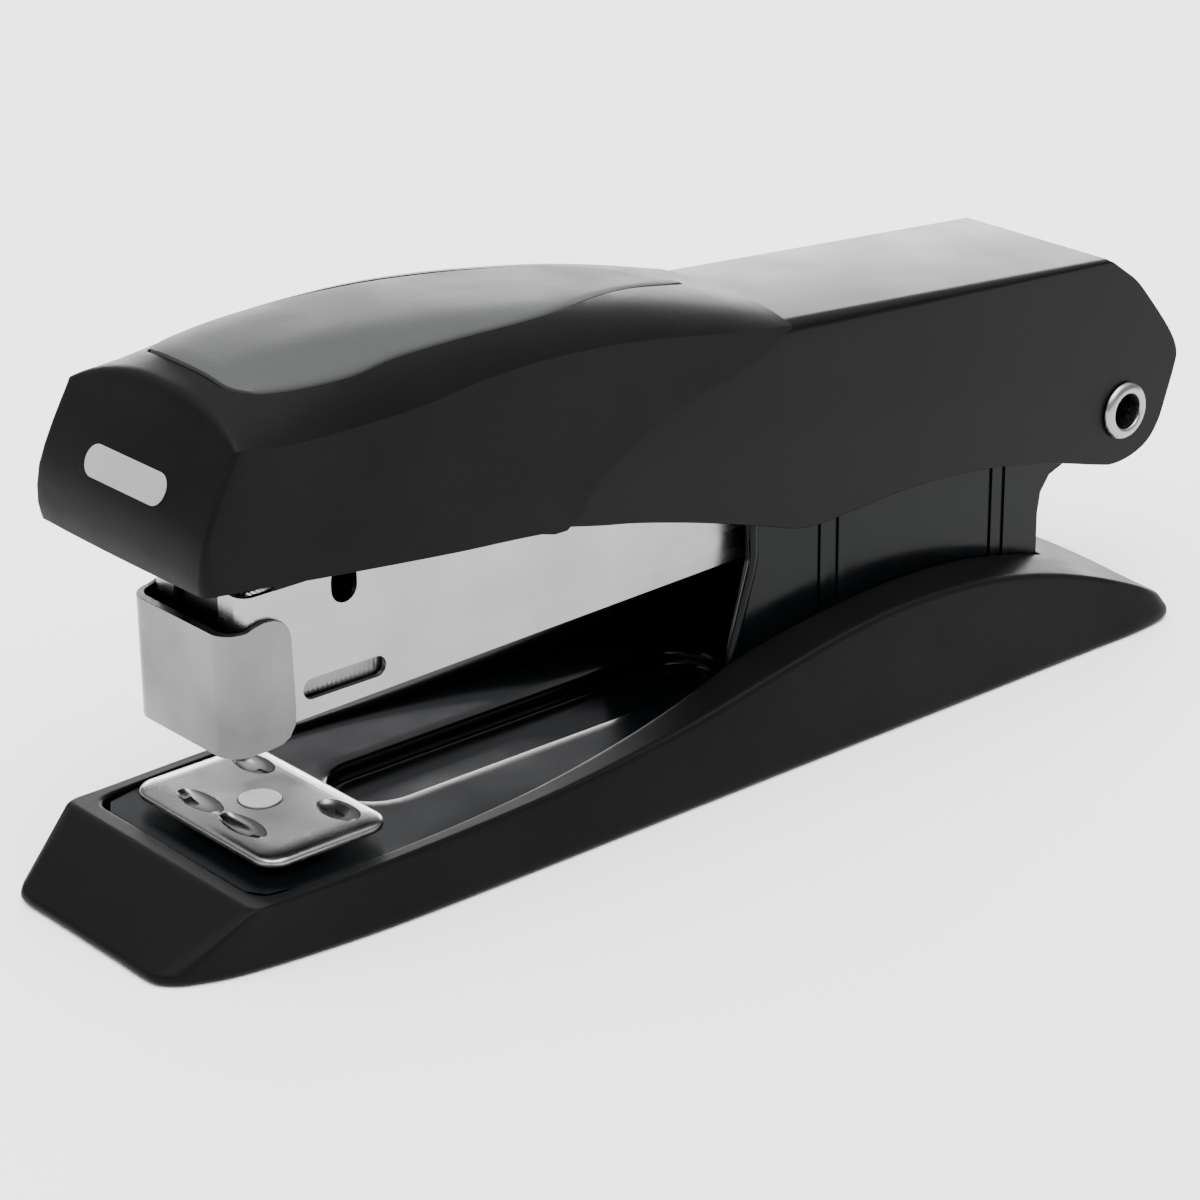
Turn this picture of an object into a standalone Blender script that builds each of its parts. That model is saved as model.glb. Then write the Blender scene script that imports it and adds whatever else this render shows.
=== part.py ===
"""Desk stapler with a hinged handle, a staple magazine, a sliding driver and a turning anvil.

Lengths are written in millimetres in a station frame: x runs back from the front of the base, y is across,
z is up from the table. The helpers turn them into metres, with the origin under the middle of the base.
"""

import math

import bmesh
import bpy
from mathutils import Vector

MM = 0.001
CENTRE_X = 68.2

# Hinge rivet
PIVOT_X = 129.0
PIVOT_Z = 24.3
SLEEVE_R = 2.6
SLEEVE_BORE_R = 2.0
RING_R = 3.2
RING_Y0 = 11.25
RING_Y1 = 11.65
SLEEVE_HALF = 11.6
EAR_HOLE_R = 2.65

# Half widths of the nested channels, outside and inside
HANDLE_OUT = 11.1
HANDLE_IN = 10.3
FRAME_OUT = 9.7
FRAME_IN = 9.0
CARRIER_OUT = 8.7
CARRIER_IN = 8.1
MAGAZINE_OUT = 7.4
MAGAZINE_IN = 6.8

# Base
PAD_THICK = 0.6
FOOT = 0.25
PAD_INSET = 1.5
PLATE_LOW = 5.4
PLATE_TOP = 6.2
TRAY_LOW = 3.6
TRAY_FLOOR = 4.4
FLOOR_GAP = 0.3

# Anvil
ANVIL_X = 19.25
ANVIL_HALF_X = 7.35
ANVIL_HALF_Y = 11.5
ANVIL_LOW = 7.2
ANVIL_TOP = 8.4
ANVIL_CORNER = 2.4
STEM_R = 1.5
STEM_HEAD_R = 2.1
GROOVE_DEPTH = 0.6

# Magazine
NOSE_FRONT = 10.8
NOSE_BEND = 2.4
NOSE_WALL = 0.8
NOSE_OUT = 8.0
NOSE_IN = 7.45
SHEET = 0.6
RAIL_OUT = 5.6
RAIL_IN = 5.0
RAIL_TOP = 28.4
STRIP_OUT = 6.45
STRIP_LOW = 20.8
STRIP_TOP = 28.9
STRIP_FRONT = 15.4
STRIP_REAR = 48.3
ROD_R = 1.0
ROD_Z = 31.0
ROD_END = 106.0

# Driver
BLADE_X = 14.3
BLADE_THICK = 0.5
BLADE_HALF = 6.2
BLADE_TIP = 24.6
BLADE_TOP = 43.0

# Outer half width and heights of the base moulding at each station: x, half width low, half width high, top z
BASE_STATIONS = (
    (-1.2, 11.2, 10.7, 1.0),
    (0.2, 12.5, 11.8, 2.1),
    (2.4, 14.0, 13.1, 3.5),
    (5.0, 15.0, 14.2, 5.0),
    (7.3, 15.7, 15.1, 6.4),
    (13.8, 16.4, 15.5, 6.6),
    (20.6, 16.7, 15.6, 6.6),
    (35.0, 16.9, 15.7, 6.8),
    (44.0, 17.0, 15.7, 7.1),
    (53.0, 17.0, 15.7, 7.8),
    (62.0, 17.0, 15.6, 8.8),
    (73.0, 17.0, 15.6, 10.8),
    (81.5, 17.0, 15.5, 12.3),
    (90.0, 17.0, 15.5, 13.1),
    (97.7, 17.0, 15.5, 13.0),
    (105.3, 17.0, 15.5, 12.2),
    (113.3, 17.0, 15.5, 10.4),
    (121.5, 17.0, 15.6, 7.7),
    (128.3, 16.9, 15.8, 4.8),
    (130.9, 16.2, 15.2, 3.5),
    (132.4, 15.0, 14.2, 2.7),
    (133.0, 13.7, 13.0, 2.2),
)

# Half width of the recess in the base moulding at each station
RECESS = ((9.0, 11.5), (10.2, 13.3), (14.0, 14.1), (26.7, 14.3), (38.0, 13.7), (52.0, 12.4), (64.0, 10.9),
          (72.0, 10.0))
RECESS_END = 117.8

# Side outline of the upright walls of the base frame
UPRIGHT = (
    (71.2, 5.6), (71.3, 10.0), (72.2, 13.8), (73.3, 17.5), (74.2, 21.0), (74.2, 25.0), (76.5, 29.0), (82.0, 31.5),
    (112.0, 31.5), (122.0, 30.6), (126.0, 29.4), (129.0, 29.6), (132.2, 28.4), (134.2, 25.6), (134.0, 22.6),
    (132.2, 20.2), (129.5, 19.2), (126.5, 19.3), (121.0, 19.6), (118.9, 18.9), (117.6, 17.2), (117.2, 14.8),
    (117.2, 5.6),
)

# Side outline of the steel handle channel
HANDLE = (
    (13.0, 46.0), (78.0, 46.0), (126.0, 42.1), (128.2, 40.5), (130.3, 39.0), (132.6, 36.5), (135.5, 33.0),
    (137.0, 30.8), (137.6, 29.3), (137.4, 27.9), (136.2, 24.4), (135.1, 21.4), (133.5, 19.6), (130.6, 18.5),
    (127.7, 18.2), (125.7, 18.7), (117.4, 20.9), (109.5, 22.6), (101.8, 23.4), (94.3, 23.6), (88.5, 23.3),
    (84.2, 23.2), (81.3, 23.2), (78.5, 23.7), (74.3, 25.1), (66.1, 27.6), (58.2, 29.7), (53.0, 30.8), (47.6, 32.1),
    (43.0, 34.3), (32.0, 35.4), (18.7, 37.0), (13.0, 37.8),
)

# Side outline of the plastic cap: front face, lower edge and the sweep that ends it over the steel
CAP_SIDE = (
    (14.6, 62.0), (10.9, 53.4), (9.4, 50.0), (7.2, 46.0), (5.8, 42.5), (5.2, 40.0), (5.5, 37.4), (9.9, 36.8),
    (18.7, 35.7),
    (32.4, 34.1), (43.3, 33.1), (46.4, 32.2), (48.1, 33.2), (49.7, 35.0), (52.0, 36.6), (55.2, 38.5),
    (58.8, 40.3), (63.1, 41.5), (68.5, 42.5), (72.0, 43.2), (74.2, 44.4), (77.6, 45.3), (78.4, 62.0),
)

# Sections of the plastic cap: x, half width at the lower edge, half width and height of the shoulder, height of
# the crown and how squarely the crown turns down into the shoulder
CAP_STATIONS = (
    (3.0, 13.7, 13.4, 50.2, 52.4, 2.6),
    (9.4, 13.7, 13.4, 50.1, 53.0, 2.6),
    (14.0, 13.7, 13.3, 49.3, 54.2, 2.9),
    (20.0, 13.6, 13.1, 49.0, 55.0, 3.4),
    (30.0, 13.5, 12.9, 49.1, 55.2, 4.1),
    (38.0, 13.3, 12.7, 49.8, 54.9, 4.2),
    (46.0, 13.1, 12.6, 50.0, 54.1, 4.2),
    (54.0, 12.8, 12.4, 49.4, 53.0, 4.2),
    (62.0, 12.5, 12.1, 48.3, 51.7, 3.9),
    (70.0, 12.1, 11.9, 46.9, 50.0, 3.5),
    (80.0, 11.9, 11.7, 45.6, 47.4, 3.0),
)
CAP_FLOOR_Z = 30.0
CAP_SKIN = 0.35
CROWN_STEPS = 8

# Outline of the grip panel let into the crown: x, half width
GRIP = ((13.3, 6.1), (14.1, 7.6), (15.6, 8.5), (18.9, 9.1), (24.4, 9.4), (30.0, 9.3), (37.0, 8.9), (44.0, 8.5),
        (50.3, 7.7), (57.0, 6.2), (62.5, 4.9), (68.0, 3.2), (71.0, 1.5))

# Side outline of the inner cover channel
CARRIER = (
    (16.0, 38.0), (117.0, 38.0), (124.0, 33.5), (131.5, 28.4), (133.2, 25.6), (133.0, 22.6), (131.2, 20.6),
    (128.5, 20.1), (126.0, 20.6), (118.0, 24.6), (92.0, 27.0), (80.0, 33.6), (16.0, 33.6),
)

# Side outline of the magazine channel
MAGAZINE = (
    (13.2, 19.2), (19.0, 19.25), (75.0, 20.4), (122.0, 20.9), (126.0, 20.4), (129.0, 20.0), (131.6, 20.9),
    (133.0, 23.0), (133.0, 25.6), (131.4, 27.8), (126.0, 30.2), (118.0, 33.0), (104.0, 35.0), (19.0, 35.0),
    (18.4, 33.0), (13.2, 33.0),
)

# Side outline of the nose cap's flanges
NOSE_SIDE = (
    (10.8, 17.6), (15.2, 17.6), (17.3, 18.1), (18.2, 19.4), (18.35, 20.8), (18.1, 28.4), (17.5, 29.7),
    (16.3, 30.4), (14.8, 30.5), (13.4, 30.0), (10.8, 29.9),
)


def clear_scene():
    for thing in list(bpy.data.objects):
        bpy.data.objects.remove(thing)


def material(name, colour, roughness, metallic):
    made = bpy.data.materials.new(name)
    made.use_nodes = True
    shader = made.node_tree.nodes["Principled BSDF"]
    shader.inputs["Base Color"].default_value = (*colour, 1.0)
    shader.inputs["Roughness"].default_value = roughness
    shader.inputs["Metallic"].default_value = metallic
    made.diffuse_color = (*colour, 1.0)
    return made


def metres(point):
    return Vector(((point[0] - CENTRE_X) * MM, point[1] * MM, point[2] * MM))


def mesh_object(name, shape):
    bmesh.ops.recalc_face_normals(shape, faces=shape.faces)
    mesh = bpy.data.meshes.new(name)
    shape.to_mesh(mesh)
    shape.free()
    made = bpy.data.objects.new(name, mesh)
    bpy.context.scene.collection.objects.link(made)
    return made


def rings_object(name, rings):
    """A closed body through rings of the same number of points, with a flat cap on each end."""
    shape = bmesh.new()
    rows = [[shape.verts.new(metres(point)) for point in ring] for ring in rings]
    count = len(rows[0])
    for low, high in zip(rows, rows[1:]):
        for i in range(count):
            j = (i + 1) % count
            shape.faces.new((low[i], low[j], high[j], high[i]))
    shape.faces.new(rows[0])
    shape.faces.new(rows[-1])
    return mesh_object(name, shape)


def prism_y(name, outline, y0, y1):
    return rings_object(name, [[(x, y, z) for x, z in outline] for y in (y0, y1)])


def prism_z(name, outline, z0, z1):
    return rings_object(name, [[(x, y, z) for x, y in outline] for z in (z0, z1)])


def box(name, low, high):
    outline = ((low[0], low[1]), (high[0], low[1]), (high[0], high[1]), (low[0], high[1]))
    return prism_z(name, outline, low[2], high[2])


def circle(cx, cy, radius, steps=40):
    turn = 2 * math.pi / steps
    return [(cx + radius * math.cos(turn * i), cy + radius * math.sin(turn * i)) for i in range(steps)]


def rod_y(name, x, z, radius, y0, y1, steps=40):
    return prism_y(name, circle(x, z, radius, steps), y0, y1)


def rod_z(name, x, y, radius, z0, z1, steps=40):
    return prism_z(name, circle(x, y, radius, steps), z0, z1)


def obround(cx, cy, half_length, radius, steps=10):
    """Round-ended outline along the first axis. half_length reaches to the middle of each end."""
    points = []
    for side, start in ((1, -math.pi / 2), (-1, math.pi / 2)):
        for i in range(steps + 1):
            angle = start + math.pi * i / steps
            points.append((cx + side * half_length + radius * math.cos(angle), cy + radius * math.sin(angle)))
    return points


def rounded_rectangle(cx, cy, half_x, half_y, radius, steps=6):
    points = []
    corners = ((1, 1, 0.0), (-1, 1, 0.5), (-1, -1, 1.0), (1, -1, 1.5))
    for sx, sy, start in corners:
        for i in range(steps + 1):
            angle = math.pi * (start + 0.5 * i / steps)
            x = cx + sx * (half_x - radius) + radius * math.cos(angle)
            y = cy + sy * (half_y - radius) + radius * math.sin(angle)
            points.append((x, y))
    return points


def apply_boolean(target, tool, operation):
    modifier = target.modifiers.new("cut", "BOOLEAN")
    modifier.operation = operation
    modifier.solver = "EXACT"
    modifier.object = tool
    graph = bpy.context.evaluated_depsgraph_get()
    mesh = bpy.data.meshes.new_from_object(target.evaluated_get(graph))
    target.modifiers.clear()
    target.data = mesh
    bpy.data.objects.remove(tool)
    return target


def cut(target, *tools):
    for tool in tools:
        apply_boolean(target, tool, "DIFFERENCE")
    return target


def join(target, *tools):
    for tool in tools:
        apply_boolean(target, tool, "UNION")
    return target


def keep_inside(target, tool):
    return apply_boolean(target, tool, "INTERSECT")


def finish(thing, look, axis_point=None, smooth=True, bevel=0.0):
    """Gives the body its material, moves its origin onto its joint axis and rounds its edges."""
    thing.data.materials.clear()
    thing.data.materials.append(look)
    if axis_point is not None:
        origin = metres(axis_point)
        for vertex in thing.data.vertices:
            vertex.co -= origin
        thing.location = origin
    if bevel:
        modifier = thing.modifiers.new("edges", "BEVEL")
        modifier.width = bevel * MM
        modifier.segments = 1
        modifier.limit_method = "ANGLE"
        modifier.angle_limit = math.radians(50)
    if smooth:
        for polygon in thing.data.polygons:
            polygon.use_smooth = True
        thing.data.set_sharp_from_angle(angle=math.radians(32))
    return thing


def ring_y(name, outer, inner, y0, y1):
    return cut(
        rod_y(name, PIVOT_X, PIVOT_Z, outer, y0, y1),
        rod_y("tool", PIVOT_X, PIVOT_Z, inner, y0 - 1, y1 + 1),
    )


def ear_hole(reach):
    return rod_y("tool", PIVOT_X, PIVOT_Z, EAR_HOLE_R, -reach, reach)


def mirrored(pairs):
    """Closed plan outline from stations of (x, half width)."""
    return [(x, -y) for x, y in pairs] + [(x, y) for x, y in reversed(pairs)]


# ---------------------------------------------------------------- base

def pad_plan(grow):
    """Outline of the foot pad, set in from the edge of the moulding."""
    pairs = []
    for x, low, _, _ in BASE_STATIONS:
        shift = PAD_INSET - grow
        pairs.append((x + shift if x < 2 else x - shift if x > 130 else x, low - shift))
    return mirrored(pairs)


def base_moulding():
    rings = []
    for x, low, high, top in BASE_STATIONS:
        skirt = min(0.9, 0.45 * top)
        half = [
            (-low + 0.25, FOOT), (-low, FOOT + 0.2), (-low, skirt), (-high - 0.25, top - 0.35 * skirt),
            (-high + 0.35, top),
        ]
        rings.append([(x, y, z) for y, z in half] + [(x, -y, z) for y, z in half[::-1]])
    made = rings_object("base_moulding", rings)
    end = RECESS_END
    plan = mirrored(RECESS + ((end, FRAME_OUT + FLOOR_GAP),))
    tray = obround(53.0, 0.0, 20.0, 6.2)
    return cut(
        made,
        prism_z("tool", plan, PLATE_LOW - FLOOR_GAP, 40.0),
        prism_z("tool", tray, TRAY_LOW - FLOOR_GAP, 20.0),
        rod_z("tool", ANVIL_X, 0.0, 3.6, PAD_THICK - 1.0, 20.0),
        prism_z("tool", pad_plan(0.2), -1.0, PAD_THICK),
    )


def base_pad():
    made = prism_z("base_pad", pad_plan(0.0), 0.0, PAD_THICK)
    return cut(made, rod_z("tool", ANVIL_X, 0.0, 4.2, -1.0, 2.0))


def base_frame():
    gap = 0.4
    plan = [(x + (gap if x < 12 else 0.0), y - gap) for x, y in RECESS[:-1]]
    plan += [(71.0, FRAME_OUT), (117.2, FRAME_OUT)]
    made = prism_z("base_frame", mirrored(plan), PLATE_LOW, PLATE_TOP)
    join(made, prism_z("tool", obround(53.0, 0.0, 20.0, 5.8), TRAY_LOW, PLATE_TOP - 0.1))
    cut(made, prism_z("tool", obround(53.0, 0.0, 20.0, 5.0), TRAY_FLOOR, PLATE_TOP + 1.0))
    for side in (-1, 1):
        y0, y1 = sorted((side * FRAME_IN, side * FRAME_OUT))
        join(made, prism_y("tool", UPRIGHT, y0, y1))
        for x, low, high in ((84.4, 8.0, 30.0), (87.0, 8.0, 30.0), (110.0, 14.0, 30.0), (112.0, 14.0, 30.0)):
            r0, r1 = sorted((side * (FRAME_OUT - 0.3), side * (FRAME_OUT + 0.22)))
            join(made, box("tool", (x - 0.45, r0, low), (x + 0.45, r1, high)))
    return cut(
        made,
        ear_hole(12.0),
        rod_z("tool", ANVIL_X, 0.0, STEM_R + 0.08, 4.0, 8.0),
        rod_z("tool", 108.0, 0.0, 1.25, 4.0, 8.0),
    )


def leaf(name, path, half, thick):
    """A bent strip along (x, z) points, thick mm through."""
    upper = []
    lower = []
    for i, (x, z) in enumerate(path):
        before = path[max(i - 1, 0)]
        after = path[min(i + 1, len(path) - 1)]
        along = Vector((after[0] - before[0], after[1] - before[1])).normalized()
        upper.append((x - along.y * thick / 2, z + along.x * thick / 2))
        lower.append((x + along.y * thick / 2, z - along.x * thick / 2))
    return prism_y(name, upper + lower[::-1], -half, half)


def magazine_spring():
    path = ((113.0, 6.75), (104.0, 6.75), (100.0, 7.4), (96.0, 9.2), (92.0, 12.0), (88.5, 15.4), (86.6, 18.2),
            (85.0, 19.6), (83.0, 19.9), (81.5, 19.2))
    made = leaf("magazine_spring", path, 4.0, 0.5)
    return cut(made, rod_z("tool", 108.0, 0.0, 1.25, 5.0, 9.0))


def headed_pin(name, x, shaft_r, head_r, low, neck, high, foot_r=0.0, foot=0.0):
    """A pin along z with a head on top and an optional foot below."""
    made = rod_z(name, x, 0.0, shaft_r, low, high - 0.1)
    join(made, rod_z("tool", x, 0.0, head_r, neck, high))
    if foot_r:
        join(made, rod_z("tool", x, 0.0, foot_r, low - foot, low + 0.1))
    return made


# ---------------------------------------------------------------- anvil

def anvil_plate():
    plan = rounded_rectangle(ANVIL_X, 0.0, ANVIL_HALF_X, ANVIL_HALF_Y, ANVIL_CORNER)
    made = prism_z("anvil_plate", plan, ANVIL_LOW, ANVIL_TOP)
    cut(
        made,
        rod_z("tool", ANVIL_X, 0.0, STEM_R + 0.08, 6.0, 9.0),
        rod_z("tool", ANVIL_X, 0.0, STEM_HEAD_R + 0.12, ANVIL_TOP - 0.45, 9.0),
    )
    for side in (-1, 1):
        for dx, dy, half in ((-4.4, 3.9, 2.9), (4.4, 6.6, 1.9)):
            outline = [(ANVIL_X + dx + v, side * dy + u) for u, v in obround(0.0, 0.0, half, 0.75, 8)]
            cut(made, prism_z("tool", outline, ANVIL_TOP - GROOVE_DEPTH, ANVIL_TOP + 1.0))
    return made


# ---------------------------------------------------------------- magazine

def channel(name, outline, out_half, in_half, inner):
    """A folded channel: the outline across its width, less the inner outline between its side walls."""
    made = prism_y(name, outline, -out_half, out_half)
    return cut(made, prism_y("tool", inner, -in_half, in_half))


def magazine_channel():
    inner = ((16.0, 15.0), (16.0, 19.85), (75.0, 21.0), (121.0, 21.5), (121.0, 15.0), (140.0, 15.0), (140.0, 40.0),
             (13.8, 40.0), (13.8, 15.0))
    made = channel("magazine_channel", MAGAZINE, MAGAZINE_OUT, MAGAZINE_IN, inner)
    return cut(
        made,
        box("tool", (10.0, -3.6, 15.0), (15.0, 3.6, 40.0)),
        prism_y("tool", obround(24.5, 22.05, 3.8, 1.05), -9.0, 9.0),
        prism_y("tool", [(x, z) for z, x in obround(31.6, 24.8, 0.45, 1.5)], -9.0, 9.0),
        ear_hole(12.0),
    )


def nose_cap():
    made = prism_y("nose_cap", NOSE_SIDE, -NOSE_OUT, NOSE_OUT)
    plan = rounded_rectangle(NOSE_FRONT + 10.0, 0.0, 10.0, NOSE_OUT, NOSE_BEND)
    keep_inside(made, prism_z("tool", plan, 10.0, 40.0))
    hollow = rounded_rectangle(NOSE_FRONT + NOSE_WALL + 10.0, 0.0, 10.0, NOSE_IN, NOSE_BEND - 0.7)
    return cut(made, prism_z("tool", hollow, 10.0, 40.0))


def staple_rail():
    made = box("staple_rail", (15.3, -RAIL_OUT, 21.6), (100.0, RAIL_OUT, RAIL_TOP))
    cut(made, box("tool", (10.0, -RAIL_IN, 15.0), (110.0, RAIL_IN, RAIL_TOP - SHEET)))
    return cut(made, prism_z("tool", obround(60.0, 0.0, 25.0, 1.6), 27.0, 30.0))


def rod_x(name, y, z, radius, x0, x1, steps=24):
    points = circle(y, z, radius, steps)
    return rings_object(name, [[(x, u, v) for u, v in points] for x in (x0, x1)])


def rod_anchor():
    made = box("rod_anchor", (103.0, -6.7, 28.6), (105.0, 6.7, 33.6))
    return cut(made, rod_x("tool", 0.0, ROD_Z, ROD_R + 0.05, 100.0, 110.0))


def staple_strip():
    """Glued strip of staples astride the rail."""
    made = box("staple_strip", (STRIP_FRONT, -STRIP_OUT, STRIP_LOW), (STRIP_REAR, STRIP_OUT, STRIP_TOP))
    inner = (RAIL_OUT + 0.1, RAIL_TOP + 0.05)
    return cut(made, box("tool", (10.0, -inner[0], 15.0), (STRIP_REAR + 5.0, inner[0], inner[1])))


def pusher():
    """Sliding block on the guide rod, with cheeks that reach down to the staples on each side of the rail."""
    front = STRIP_REAR + 0.2
    made = box("pusher", (front, -6.4, 29.0), (front + 10.2, 6.4, 33.4))
    for side in (-1, 1):
        y0, y1 = sorted((side * (RAIL_OUT + 0.15), side * 6.4))
        join(made, box("tool", (front, y0, 23.6), (front + 8.0, y1, 30.0)))
        y0, y1 = sorted((side * 2.2, side * 5.2))
        cut(made, box("tool", (front + 1.6, y0, 20.0), (front + 8.8, y1, 32.6)))
    return cut(made, rod_x("tool", 0.0, ROD_Z, ROD_R + 0.1, front - 5.0, front + 15.0))


def coil(name, x0, x1, y, z, mean_r, wire_r, turns, steps=14, sides=6):
    rings = []
    count = int(turns * steps)
    for i in range(count + 1):
        angle = 2 * math.pi * turns * i / count
        centre = Vector((x0 + (x1 - x0) * i / count, y + mean_r * math.cos(angle), z + mean_r * math.sin(angle)))
        out = Vector((0.0, math.cos(angle), math.sin(angle)))
        ahead = Vector(((x1 - x0) / (2 * math.pi * turns), -mean_r * math.sin(angle), mean_r * math.cos(angle)))
        side = ahead.normalized().cross(out)
        ring = []
        for k in range(sides):
            t = 2 * math.pi * k / sides
            ring.append(centre + wire_r * (math.cos(t) * out + math.sin(t) * side))
        rings.append(ring)
    return rings_object(name, rings)


# ---------------------------------------------------------------- handle

def lowered(outline, drop):
    return [(x, z - drop) for x, z in outline]


def carrier_channel():
    inner = ((10.0, 37.4), (116.6, 37.4), (150.0, 14.5), (150.0, 5.0), (10.0, 5.0))
    made = channel("carrier_channel", CARRIER, CARRIER_OUT, CARRIER_IN, inner)
    cut(made, box("tool", (121.0, -CARRIER_IN, 10.0), (150.0, CARRIER_IN, 60.0)))
    return cut(made, ear_hole(12.0), rod_z("tool", 92.0, 0.0, 1.25, 36.0, 40.0))


def handle_spring():
    path = ((97.0, 38.35), (86.0, 38.35), (80.0, 38.7), (72.0, 40.1), (64.0, 42.0), (56.0, 43.8), (51.0, 44.6),
            (48.0, 44.8), (45.5, 44.3))
    made = leaf("handle_spring", path, 4.0, 0.5)
    return cut(made, rod_z("tool", 92.0, 0.0, 1.25, 37.0, 40.0))


def handle_channel():
    inner = ((5.0, 45.2), (77.9, 45.2), (125.9, 41.3), (150.0, 39.4), (150.0, 5.0), (5.0, 5.0))
    made = channel("handle_channel", HANDLE, HANDLE_OUT, HANDLE_IN, inner)
    cut(made, box("tool", (126.2, -HANDLE_IN, 10.0), (150.0, HANDLE_IN, 60.0)))
    return cut(made, ear_hole(14.0))


def crown(station, inset):
    """Half section of the cap, from its lower edge up the side and over to the middle."""
    x, low, wide, shoulder, top, power = station
    low -= inset
    wide -= inset
    top -= inset
    shoulder -= 0.6 * inset
    points = [(low + 0.1, CAP_FLOOR_Z - inset), (wide, shoulder)]
    for i in range(1, CROWN_STEPS + 1):
        angle = 0.5 * math.pi * i / CROWN_STEPS
        y = wide * max(0.0, math.cos(angle)) ** 0.7
        points.append((y, shoulder + (top - shoulder) * (1.0 - (y / wide) ** power)))
    points[-1] = (0.0, top)
    return points


def cap_body(name, inset, shift=0.0):
    rings = []
    for station in CAP_STATIONS:
        half = crown(station, inset)
        ring = [(station[0] + shift, -y, z) for y, z in half]
        ring += [(station[0] + shift, y, z) for y, z in reversed(half[:-1])]
        rings.append(ring)
    return rings_object(name, rings)


def grip_outline(grow):
    pairs = [(x, y + grow) for x, y in GRIP]
    pairs[0] = (pairs[0][0] - grow, pairs[0][1])
    pairs[-1] = (pairs[-1][0] + grow, pairs[-1][1])
    return mirrored(pairs)


def front_cap():
    made = keep_inside(cap_body("front_cap", 0.0), prism_y("tool", CAP_SIDE, -20.0, 20.0))
    hollow = ((11.2, 46.45), (90.0, 46.45), (90.0, 20.0), (7.6, 20.0), (7.6, 42.0))
    cut(made, prism_y("tool", hollow, -HANDLE_OUT - CAP_SKIN, HANDLE_OUT + CAP_SKIN))
    groove = prism_z("tool", grip_outline(0.12), 46.0, 70.0)
    cut(groove, cap_body("tool_low", 1.2))
    return cut(made, groove)


def grip_inset():
    made = keep_inside(cap_body("grip_inset", 0.0), prism_z("tool", grip_outline(-0.12), 40.0, 70.0))
    return cut(made, cap_body("tool", 1.0))


def badge():
    """Blank pill-shaped plate on the front face of the cap."""
    centre = Vector((6.62, 0.0, 45.0))
    up = Vector((1.4, 0.0, 3.5)).normalized()
    out = Vector((-up.z, 0.0, up.x))
    rings = []
    for depth in (0.04, 0.2):
        ring = []
        for u, v in obround(0.0, 0.0, 4.8, 1.35, 8):
            point = centre + out * depth + Vector((0.0, u, 0.0)) + up * v
            ring.append(tuple(point))
        rings.append(ring)
    return rings_object("badge", rings)


def driver_blade():
    half = BLADE_THICK / 2
    return box("driver_blade", (BLADE_X - half, -BLADE_HALF, BLADE_TIP), (BLADE_X + half, BLADE_HALF, BLADE_TOP))


def build():
    clear_scene()
    plastic = material("matte_black_plastic", (0.028, 0.029, 0.031), 0.5, 0.0)
    inset = material("grey_grip_plastic", (0.075, 0.078, 0.08), 0.6, 0.0)
    rubber = material("rubber_pad", (0.03, 0.03, 0.03), 0.85, 0.0)
    gloss = material("gloss_black_paint", (0.008, 0.010, 0.012), 0.12, 0.0)
    satin = material("satin_black_paint", (0.03, 0.031, 0.034), 0.38, 0.0)
    nickel = material("nickel_plate", (0.72, 0.72, 0.72), 0.22, 1.0)
    dark = material("dark_spring_steel", (0.16, 0.16, 0.17), 0.35, 1.0)
    pale = material("printed_badge", (0.5, 0.5, 0.5), 0.4, 0.0)
    pivot = (PIVOT_X, 0.0, PIVOT_Z)

    finish(base_moulding(), plastic)
    finish(base_pad(), rubber)
    finish(base_frame(), gloss)
    finish(magazine_spring(), dark)
    finish(headed_pin("spring_rivet", 108.0, 1.2, 2.2, 5.2, 7.05, 7.7), nickel)
    finish(ring_y("hinge_sleeve", SLEEVE_R, SLEEVE_BORE_R, -SLEEVE_HALF, SLEEVE_HALF), nickel)
    finish(ring_y("hinge_ring_near", RING_R, SLEEVE_R + 0.02, -RING_Y1, -RING_Y0), nickel)
    finish(ring_y("hinge_ring_far", RING_R, SLEEVE_R + 0.02, RING_Y0, RING_Y1), nickel)

    anvil_axis = (ANVIL_X, 0.0, ANVIL_LOW)
    finish(anvil_plate(), nickel, anvil_axis)
    stem = headed_pin("anvil_stem", ANVIL_X, STEM_R, STEM_HEAD_R, 3.0, ANVIL_TOP - 0.4, ANVIL_TOP + 0.1, 3.0, 1.1)
    finish(stem, nickel, anvil_axis)
    washer = cut(
        rod_z("anvil_washer", ANVIL_X, 0.0, 3.2, 6.5, 6.9),
        rod_z("tool", ANVIL_X, 0.0, STEM_R + 0.08, 6.0, 8.0),
    )
    finish(washer, dark)

    finish(magazine_channel(), nickel, pivot)
    finish(nose_cap(), nickel, pivot)
    finish(staple_rail(), nickel, pivot)
    finish(rod_x("guide_rod", 0.0, ROD_Z, ROD_R, 16.5, ROD_END), nickel, pivot)
    finish(rod_anchor(), dark, pivot)
    finish(ring_y("spacer_tube", 3.3, EAR_HOLE_R, -MAGAZINE_IN + 0.1, MAGAZINE_IN - 0.1), dark, pivot)
    finish(staple_strip(), nickel, pivot)
    finish(pusher(), dark)
    finish(coil("pusher_spring", STRIP_REAR + 10.7, 102.7, 0.0, ROD_Z, 1.55, 0.25, 15), dark)

    finish(carrier_channel(), satin, pivot)
    finish(handle_spring(), dark, pivot)
    finish(headed_pin("leaf_rivet", 92.0, 1.2, 2.2, 36.9, 38.65, 39.3), nickel, pivot)
    finish(handle_channel(), satin, pivot)
    finish(front_cap(), plastic, pivot)
    finish(grip_inset(), inset, pivot)
    finish(badge(), pale, pivot)
    finish(driver_blade(), dark)
    head = box("driver_head", (BLADE_X + 0.3, -5.0, 39.4), (BLADE_X + 1.1, 5.0, 43.0))
    finish(head, dark)


build()
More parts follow.
